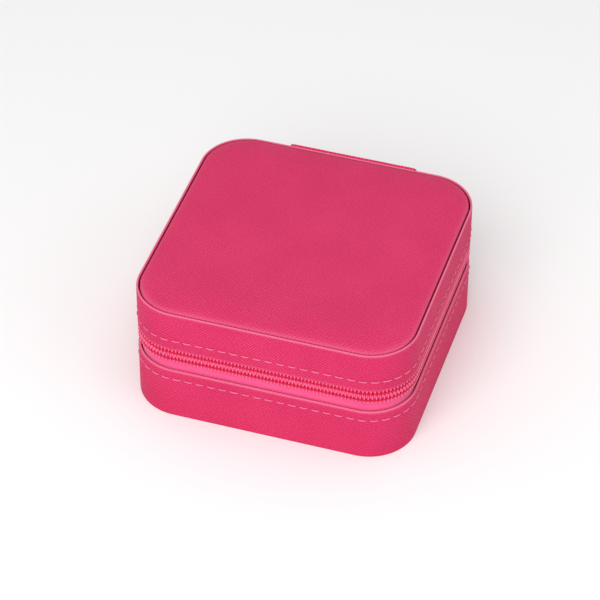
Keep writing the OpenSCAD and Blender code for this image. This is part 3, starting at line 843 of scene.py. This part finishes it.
def stuffed_roll(low, high, seed):
    """A roll that fills its space: a slack sleeve with gathered ends, blown up as cloth."""
    middle = (low + high) / 2
    half, radius = (high.x - low.x) / 2 - 0.0004, (high.z - low.z) / 2 - 0.0007
    rings, sides, bm = 46, 48, bmesh.new()
    loops = []
    for i in range(rings):
        t = -math.cos(math.pi * i / (rings - 1))
        end = max(0.0, (abs(t) - 0.78) / 0.22)
        size = radius * math.sqrt(max(0.0, 1 - end ** 2.6)) + 0.0003
        loop = []
        for k in range(sides):
            a = 2 * math.pi * k / sides
            square = (abs(math.cos(a)) ** 2.8 + abs(math.sin(a)) ** 2.8) ** (-1 / 2.8)
            pleat = 1 + 0.07 * min(1.0, end * 1.6) * math.cos(12 * a + seed)
            slack = unevenness(t * 2 + seed, math.cos(a), math.sin(a), 0.5, 0.00035)
            r = size * square * pleat + slack * (1 - end)
            loop.append(bm.verts.new((half * t, r * math.cos(a), r * math.sin(a))))
        loops.append(loop)
    for a, b in zip(loops, loops[1:]):
        for k in range(sides):
            m = (k + 1) % sides
            bm.faces.new((a[k], a[m], b[m], b[k]))
    bm.faces.new(loops[0])
    bm.faces.new(loops[-1])
    bmesh.ops.recalc_face_normals(bm, faces=bm.faces)
    bmesh.ops.scale(bm, vec=(roll_scale,) * 3, verts=bm.verts)
    sleeve = new_object("sleeve", mesh_of("sleeve", bm))
    skin = sleeve.modifiers.new("skin", "REMESH")
    skin.mode = "VOXEL"
    skin.voxel_size = roll_voxel * roll_scale
    even = as_evaluated(sleeve)
    sleeve.modifiers.clear()
    sleeve.data = even
    start = np.array([v.co for v in even.vertices])
    cloth = sleeve.modifiers.new("cloth", "CLOTH")
    cloth.settings.use_pressure = True
    cloth.settings.uniform_pressure_force = 4
    cloth.settings.effector_weights.gravity = 0
    cloth.settings.quality = 4
    cloth.settings.shrink_min = -0.10
    for step in range(1, 21):
        bpy.context.scene.frame_set(step)
    moved = np.array([v.co for v in as_evaluated(sleeve).vertices]) - start
    far = np.linalg.norm(moved, axis=1, keepdims=True)
    start = start + moved * np.minimum(1, most_swell * roll_scale / np.maximum(far, 1e-9))
    bpy.context.scene.frame_set(1)
    points = start / roll_scale
    reach = np.array([high.x - middle.x, high.y - middle.y, high.z - middle.z]) + (0.0, 0.00022, 0.0)
    points = np.clip(points, -reach, reach) + np.array(middle)
    sleeve.modifiers.clear()
    even.vertices.foreach_set("co", points.astype(np.float32).ravel())
    even.update()
    bpy.context.view_layer.objects.active = sleeve
    fine = sleeve.modifiers.new("fine", "SUBSURF")
    fine.levels = fine.render_levels = 1
    mesh = as_evaluated(sleeve)
    bpy.data.objects.remove(sleeve)
    mesh.shade_smooth()
    return mesh


roll_velvet = velvet("roll_velvet", (0.64, 0.18, 0.26), (0.46, 0.09, 0.15), (0.80, 0.30, 0.39))
for number in range(1, 7):
    node = f"ring_roll_{number}"
    roll_low, roll_high = box_of(node)
    roll = add_piece(f"velvet_roll_{number}", stuffed_roll(roll_low, roll_high, number * 1.7), "base",
                     roll_velvet, "velvet_roll", node)

# ---- Lid wall ----
# The lid's wall is made like the base's: leather over board, a folded hem at the zip with
# its row of stitches, and a thin raw rim that stands round the padded top.
lid_low, lid_high = box_of("lid_wall_leather")
lid_edge, lid_rim = lid_low.z, lid_high.z
lid_seam = lid_edge + seam_from_edge
rim_thickness = 0.0007
lid_lap = 0.0003
lid_section = rounded_section(
    [(0, lid_edge - lid_lap, 0.00035), (0, lid_rim, 0.00038), (rim_thickness, lid_rim, 0.00028),
     (rim_thickness, lid_edge + hem_height + 0.001, 0), (hem_depth, lid_edge + hem_height, 0),
     (hem_depth, lid_edge + 0.0004, 0.0004), (0.0011, lid_edge - lid_lap, 0.0003)], 0.0006)
lid_wall = swept("lid_wall", wall_way, lid_section, pulled_by_seam(lid_seam, lid_rim, lid_edge))
lid_heights = heights_of(lid_wall)
# painted highlights along the lid's rim and along its lower edge
mark_painted_highlight(lid_wall, 0.9 * near(lid_heights, lid_rim, highlight_width)
           + 0.7 * near(lid_heights, lid_edge - lid_lap, highlight_width))
add_piece("lid_wall", lid_wall, "lid", wall_leather, "saffiano_leather", "lid_wall_leather")
seam_line, seam_out = line_on_wall(wall_way, stitch_sink, lid_seam)
lid_stitches = row_of("lid_stitches", stitch, seam_line, seam_out, seam_pitch, pale_thread, 0.05, 8)
add_piece("lid_stitches", lid_stitches, "lid", pale_thread, "saffiano_leather")

# ---- Padded top ----
# Leather stretched over foam and board, and let in behind the rim. It rises quickly over
# its rounded edge and then lies almost flat, with the faint unevenness of hand work.
cover_low, cover_high = box_of("lid_top_cover")
top_inset = 0.00128
crown_run = 0.015
shoulder = lid_rim - 0.0004
crown = cover_high.z - shoulder
top_levels = [(top_inset, cover_low.z + 0.0002), (top_inset, shoulder - 0.0015),
              (top_inset, shoulder - 0.0004)]
for share in np.linspace(0, 1, 26)[1:]:
    rise = share * math.pi / 2
    top_levels.append((top_inset + crown_run * (1 - math.cos(rise)), shoulder + crown * math.sin(rise)))


def hand_stretched(x, y, z):
    """Leather over foam: broad hollows and swells, and a softer ripple near the edge."""
    inside = min(case_width / 2 - abs(x), case_depth / 2 - abs(y))
    fade = min(1.0, max(0.0, (inside - 0.0015) / 0.006))
    lift = unevenness(x, y, 0.3, 0.024, 0.00016) + unevenness(x, y, 1.7, 0.009, 0.00005)
    return x, y, z + fade * lift - 0.0002 * fade


padded_top = thickened(filled_top("padded_top", wall_way, top_levels, 24, hand_stretched), panel_thickness)
# A faint painted highlight lightens the leather round the top's rounded edge.
mark_painted_highlight(padded_top, 0.35 * near(heights_of(padded_top), shoulder + 0.0003, 0.0005))
top_leather = leather("top_leather", uv=True, gloss=0.14)
top = add_piece("padded_top", padded_top, "lid", top_leather, "saffiano_leather", "lid_top_cover")

# ---- Lid half of the zip ----
# The same tape and coil as the base's half, turned over. Its tape runs up behind the hem.
zip_half("lid", 1)

# ---- Lid linings ----
# Velvet-covered card on the lid's wall and its ceiling.
lid_lining_low, lid_lining_high = box_of("lid_wall_lining")
lining_band("lid_lining", "lid", lid_lining_low.z, lid_lining_high.z, lid_lining_low.z, "lid_wall_lining")
dress("lid_ceiling_lining", pink_velvet)

# ---- Lid pocket ----
# A gathered pouch of thin velvet, sewn to the ceiling on three sides. It is cut a fifth wider
# at its mouth than the room, and the elastic in its hem draws that into soft pleats, which
# fade towards the hinge. The cut's sizes set the depth of the pleats, row by row.
pocket_low, pocket_high = box_of("lid_pocket")
elastic_low, elastic_high = box_of("pocket_elastic")
hem_middle_y, hem_middle_z = (elastic_low.y + elastic_high.y) / 2, (elastic_low.z + elastic_high.z) / 2
mouth_y = hem_middle_y + 0.0013
ceiling = pocket_high.z
pocket_half = (pocket_high.x - pocket_low.x) / 2
pouch_corner = corner_radius - (case_depth / 2 - pocket_high.y)
across, deep = 220, 44
pouch_fullness = 1.20
seam_turn = 0.0035
broad_pleat, fine_pleat, fine_share = 0.0047, 0.0029, 0.45
pleat_gain = (math.pi / broad_pleat) ** 2 + (math.pi * fine_share / fine_pleat) ** 2
cloth_points, cloth_faces = [], []
for j in range(deep + 1):
    v = j / deep
    y = mouth_y + v * (pocket_high.y - mouth_y)
    narrowing = max(0.0, y - (pocket_high.y - pouch_corner))
    corner_in = pouch_corner - math.sqrt(max(0.0, pouch_corner ** 2 - narrowing ** 2))
    half = min(pocket_half, case_width / 2 - (case_depth / 2 - pocket_high.y) - corner_in)
    for i in range(across + 1):
        u = i / across * 2 - 1
        x = u * half
        edge_x = max(0.0, 1 - (half - abs(x)) / seam_turn)
        edge_y = max(0.0, 1 - (pocket_high.y - y) / seam_turn)
        side = min(1.0, math.hypot(edge_x, edge_y))
        wander = unevenness(x, y * 0.4, 5.0, 0.016, 0.0012)
        pleat = math.sin(2 * math.pi * (x + wander) / broad_pleat)
        pleat += fine_share * math.sin(2 * math.pi * (x - wander) / fine_pleat)
        sag = math.sqrt((pouch_fullness - 1) * (1 - v) / pleat_gain)
        swell = unevenness(x, y, 2.0, 0.02, 0.0003)
        z = pocket_low.z + 0.0009 + (sag * pleat + swell) * (1 - side)
        z = z + (ceiling - 0.0003 - z) * (1 - math.sqrt(max(0.0, 1 - side * side)))
        cloth_points.append((x, y, z))
for j in range(deep):
    for i in range(across):
        a = j * (across + 1) + i
        cloth_faces.append((a, a + across + 1, a + across + 2, a + 1))
pouch = mesh_from("pouch", cloth_points, cloth_faces)
pouch_velvet = velvet("pouch_velvet", (0.64, 0.17, 0.25), (0.46, 0.09, 0.15), (0.80, 0.30, 0.39))
pocket = add_piece("pocket_cloth", thickened(pouch, 0.00035, offset=0.0), "lid", pouch_velvet,
                   "velvet_card", "lid_pocket")
hem_line = [(x, hem_middle_y + unevenness(x, 0, 3.0, 0.005, 0.00012), hem_middle_z)
            for x in np.linspace(-pocket_half + 0.0006, pocket_half - 0.0006, 320)]
hem_size = [0.00122 + 0.00014 * math.sin(2 * math.pi * x / 0.0022) + unevenness(x, 1, 1, 0.004, 0.0001)
            for x, _, _ in hem_line]
hem = tube("pocket_hem", hem_line, hem_size, 14)
hem_piece = add_piece("pocket_hem", hem, "lid", pouch_velvet, "velvet_card")
elastic_cord = speckled("elastic_cord", (0.85, 0.72, 0.70), 0.7, (2500, 2.0),
                        ((0.70, 0.55, 0.54), (0.92, 0.82, 0.80)), (0.00004, 1.0))
dress("pocket_elastic", elastic_cord)

# ---- Necklace strap and tabs ----
# A leather strap sewn to the ceiling, with three round-ended tabs that fold down and close
# on snaps. A chain hangs over a tab's root and can't slip off while it is closed.
flat_leather = leather("flat_leather", uv=False)
softened("necklace_strap", 0.00025, 2, "lid", flat_leather, "saffiano_leather")
strap_low, strap_high = box_of("necklace_strap")
strap_under = strap_high.z - 0.001
strap_x = (strap_high.x - strap_low.x) / 2 - 0.0015
strap_front, strap_back = strap_low.y + 0.0012, strap_high.y - 0.0012


def between(corners, steps):
    """Places along the straight stretches from corner to corner, without the last corner."""
    corners = [np.array(corner) for corner in corners]
    return [a + t * (b - a) for a, b in zip(corners, corners[1:]) for t in np.linspace(0, 1, steps)[:-1]]


strap_line = between([(-strap_x, strap_front, strap_under), (strap_x, strap_front, strap_under),
                      (strap_x, strap_back, strap_under), (-strap_x, strap_back, strap_under),
                      (-strap_x, strap_front, strap_under)], 20)
small_stitch = one_stitch(0.0018, 0.00016)
strap_stitches = row_of("strap_stitches", small_stitch, strap_line, [(0, 0, -1)] * len(strap_line),
                        0.0026, pale_thread, 0.05, 5)
add_piece("strap_stitches", strap_stitches, "lid", pale_thread, "saffiano_leather")

gold_metal = speckled("gold_metal", (0.86, 0.62, 0.27), 0.24, (700, 4.0),
                      ((0.78, 0.53, 0.21), (0.92, 0.70, 0.36)), (0.000012, 0.6),
                      rough_span=(0.28, 0.10), Metallic=1.0)
for number in (1, 2, 3):
    softened(f"necklace_tab_{number}", 0.0003, 3, f"tab_{number}", flat_leather, "saffiano_leather")
    softened(f"snap_cap_{number}", 0.00025, 3, f"tab_{number}", gold_metal, "gold_metal")
softened("snap_studs", 0.00012, 2, "lid", gold_metal, "gold_metal")

# ---- Hinge ----
# A leather strip glued and stitched to both back walls outside, and a strip of velvet
# inside. On the real case both bend at the level of the zip as the lid opens; here each is one piece that
# stays in place.
lid_strip_low, lid_strip_high = box_of("hinge_strip_lid_half")
strip_foot, strip_top = strip_low.z, lid_strip_high.z + 0.0001
strip_inner, strip_outer = strip_low.y, strip_high.y - 0.0001
bend_start, bend_end = strip_high.z, lid_strip_low.z
strip_seam_inset = 0.0022
strip_corner = 0.0022


def hanging_strip(name, x0, x1, z0, z1, y_in, y_out, corner, rows, columns, swell):
    """An upright strip with rounded corners and edges. Its UV map is in metres, on x and z."""
    height, width = z1 - z0, x1 - x0
    middle_x = (x0 + x1) / 2
    points, faces = [], []
    for side, y_face in ((1, y_out), (-1, y_in)):
        for j in range(rows + 1):
            z = z0 + height * j / rows
            end = min(z - z0, z1 - z)
            cut = corner - math.sqrt(max(0.0, corner ** 2 - max(0.0, corner - end) ** 2))
            for i in range(columns + 1):
                u = 2 * i / columns - 1
                x = middle_x + u * (width / 2 - cut)
                rim = min(width / 2 - abs(x - middle_x), end)
                edge = min(0.0004, 0.35 * (y_out - y_in)) * (1 - min(1.0, rim / 0.0006)) ** 2
                points.append((x, y_face - side * edge + (swell(x, z) if side > 0 else 0), z))
    per = (rows + 1) * (columns + 1)
    for j in range(rows):
        for i in range(columns):
            a = j * (columns + 1) + i
            faces.append((a, a + columns + 1, a + columns + 2, a + 1))
            faces.append((per + a, per + a + 1, per + a + columns + 2, per + a + columns + 1))
    border = [i for i in range(columns + 1)] + [j * (columns + 1) + columns for j in range(1, rows + 1)]
    border += [rows * (columns + 1) + i for i in range(columns - 1, -1, -1)]
    border += [j * (columns + 1) for j in range(rows - 1, 0, -1)]
    for a, b in zip(border, border[1:] + border[:1]):
        faces.append((a, b, per + b, per + a))
    mesh = mesh_from(name, points, faces, [(-points[v][0], points[v][2]) for f in faces for v in f])
    bm = bmesh.new()
    bm.from_mesh(mesh)
    bmesh.ops.recalc_face_normals(bm, faces=bm.faces)
    bm.to_mesh(mesh)
    bm.free()
    return mesh


def over_the_bend(x, z):
    """The outer strip stands off a little where it bends, and dips along its seams."""
    bend = near(z, chain_height, 0.003)
    sides = min(x - strip_low.x, strip_high.x - x, z - strip_foot, strip_top - z)
    seam = near(sides, strip_seam_inset, 0.0005)
    return 0.00025 * bend - 0.00012 * seam + unevenness(x, 1.0, z, 0.008, 0.00007)


outer_strip = hanging_strip("hinge_strip", strip_low.x, strip_high.x, strip_foot, strip_top,
                            strip_inner, strip_outer - 0.00015, strip_corner, 110, 110, over_the_bend)
mark_painted_highlight(outer_strip, np.zeros(len(outer_strip.vertices)))
strip_piece = add_piece("hinge_strip", outer_strip, None, wall_leather, "saffiano_leather",
                        "hinge_strip_base_half", "hinge_strip_lid_half")
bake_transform(strip_piece)
seam_x0, seam_x1 = strip_low.x + strip_seam_inset, strip_high.x - strip_seam_inset
seam_y = strip_outer - 0.00022
for body, end_z, bend_z in (("base", strip_foot + strip_seam_inset, bend_start - 0.0006),
                            ("lid", strip_top - strip_seam_inset, bend_end + 0.0006)):
    strip_corners = [(seam_x0, seam_y, bend_z), (seam_x0, seam_y, end_z), (seam_x1, seam_y, end_z),
                     (seam_x1, seam_y, bend_z)]
    strip_line = between(strip_corners, 24) + [strip_corners[-1]]
    strip_row = row_of(f"strip_stitches_{body}", one_stitch(0.0022, 0.0002), strip_line,
                       [(0, 1, 0)] * len(strip_line), 0.0032, pale_thread, 0.05, 4, closed=False)
    add_piece(f"strip_stitches_{body}", strip_row, body, pale_thread, "saffiano_leather")

inner_low, inner_high = box_of("hinge_lining_base_half")
inner_lid_high = box_of("hinge_lining_lid_half")[1]
inner_strip = hanging_strip("hinge_lining", inner_low.x, inner_high.x, inner_low.z, inner_lid_high.z,
                            inner_low.y, inner_high.y, 0.0015, 90, 70, lambda x, z: 0.0)
inner_piece = add_piece("hinge_lining", inner_strip, None, pink_velvet, "velvet_card",
                        "hinge_lining_base_half", "hinge_lining_lid_half")
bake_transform(inner_piece)

# ---- Slider and pull ----
# A die-cast slider with its crown, a flat link that turns on the crown's front post, and a
# drop-shaped pull tab. The end stops are small blocks of the same metal.
for node, width, body in (("slider_body", 0.00022, "slider"), ("slider_crown", 0.0003, "slider"),
                          ("pull_link", 0.00016, "pull_link"), ("pull_tab", 0.0003, "pull_tab"),
                          ("base_end_stops", 0.00025, "base"), ("lid_end_stops", 0.00025, "lid")):
    softened(node, width, 3, body, gold_metal, "gold_metal")

# ---- Studio ----
# A pale floor, a soft main light in front, fills from above and from the right, and an even
# pale room.
floor_mesh = mesh_from("floor", [(-3, -3, 0), (3, -3, 0), (3, 3, 0), (-3, 3, 0)], [(0, 1, 2, 3)])
floor_mesh.materials.append(new_material("floor", (0.94, 0.94, 0.94), 0.9, Specular_IOR_Level=0.1)[0])
floor = new_object("floor", floor_mesh)

room = bpy.data.worlds.new("room")
bpy.context.scene.world = room
room.use_nodes = True
sky = room.node_tree.nodes["Background"]
sky.inputs["Color"].default_value = (1, 1, 1, 1)
sky.inputs["Strength"].default_value = 0.60


def toward(azimuth, elevation):
    """The direction out from the case at an azimuth and an elevation, in degrees."""
    a, e = math.radians(azimuth), math.radians(elevation)
    return Vector((math.sin(a) * math.cos(e), -math.cos(a) * math.cos(e), math.sin(e)))


def soft_light(name, azimuth, elevation, distance, size, power):
    """A square area light that looks at the case."""
    out = toward(azimuth, elevation)
    data = bpy.data.lights.new(name, "AREA")
    data.shape = "SQUARE"
    data.size = size
    data.energy = power
    lamp = new_object(name, data)
    lamp.location = Vector((0, 0, 0.02)) + out * distance
    lamp.rotation_mode = "QUATERNION"
    lamp.rotation_quaternion = (-out).to_track_quat("-Z", "Y")


soft_light("main_light", -2, 42, 1.0, 0.7, 5.6)
soft_light("top_light", 30, 80, 1.2, 0.8, 2.0)
soft_light("side_light", 75, 28, 1.2, 0.9, 1.2)

azimuth, elevation, roll = 17.20, 41.34, math.radians(0.28)
back = toward(azimuth, elevation)
look_at = Vector((0, 0, 0.025))
camera_data = bpy.data.cameras.new("camera")
camera_data.sensor_width = 36
camera_data.lens = 176.5
camera_data.clip_start, camera_data.clip_end = 0.05, 20
camera = new_object("camera", camera_data)
camera.location = look_at + back * 1.036
camera.rotation_mode = "QUATERNION"
straight = (-back).to_track_quat("-Z", "Y")
right_way, up_way = straight @ Vector((1, 0, 0)), straight @ Vector((0, 1, 0))
aim = look_at - right_way * 0.00230 - up_way * 0.00364
camera.rotation_quaternion = (aim - camera.location).to_track_quat("-Z", "Y")
camera.rotation_mode = "XYZ"
camera.rotation_euler.rotate_axis("Z", roll)
bpy.context.scene.camera = camera
bpy.context.scene.view_settings.view_transform = "Standard"
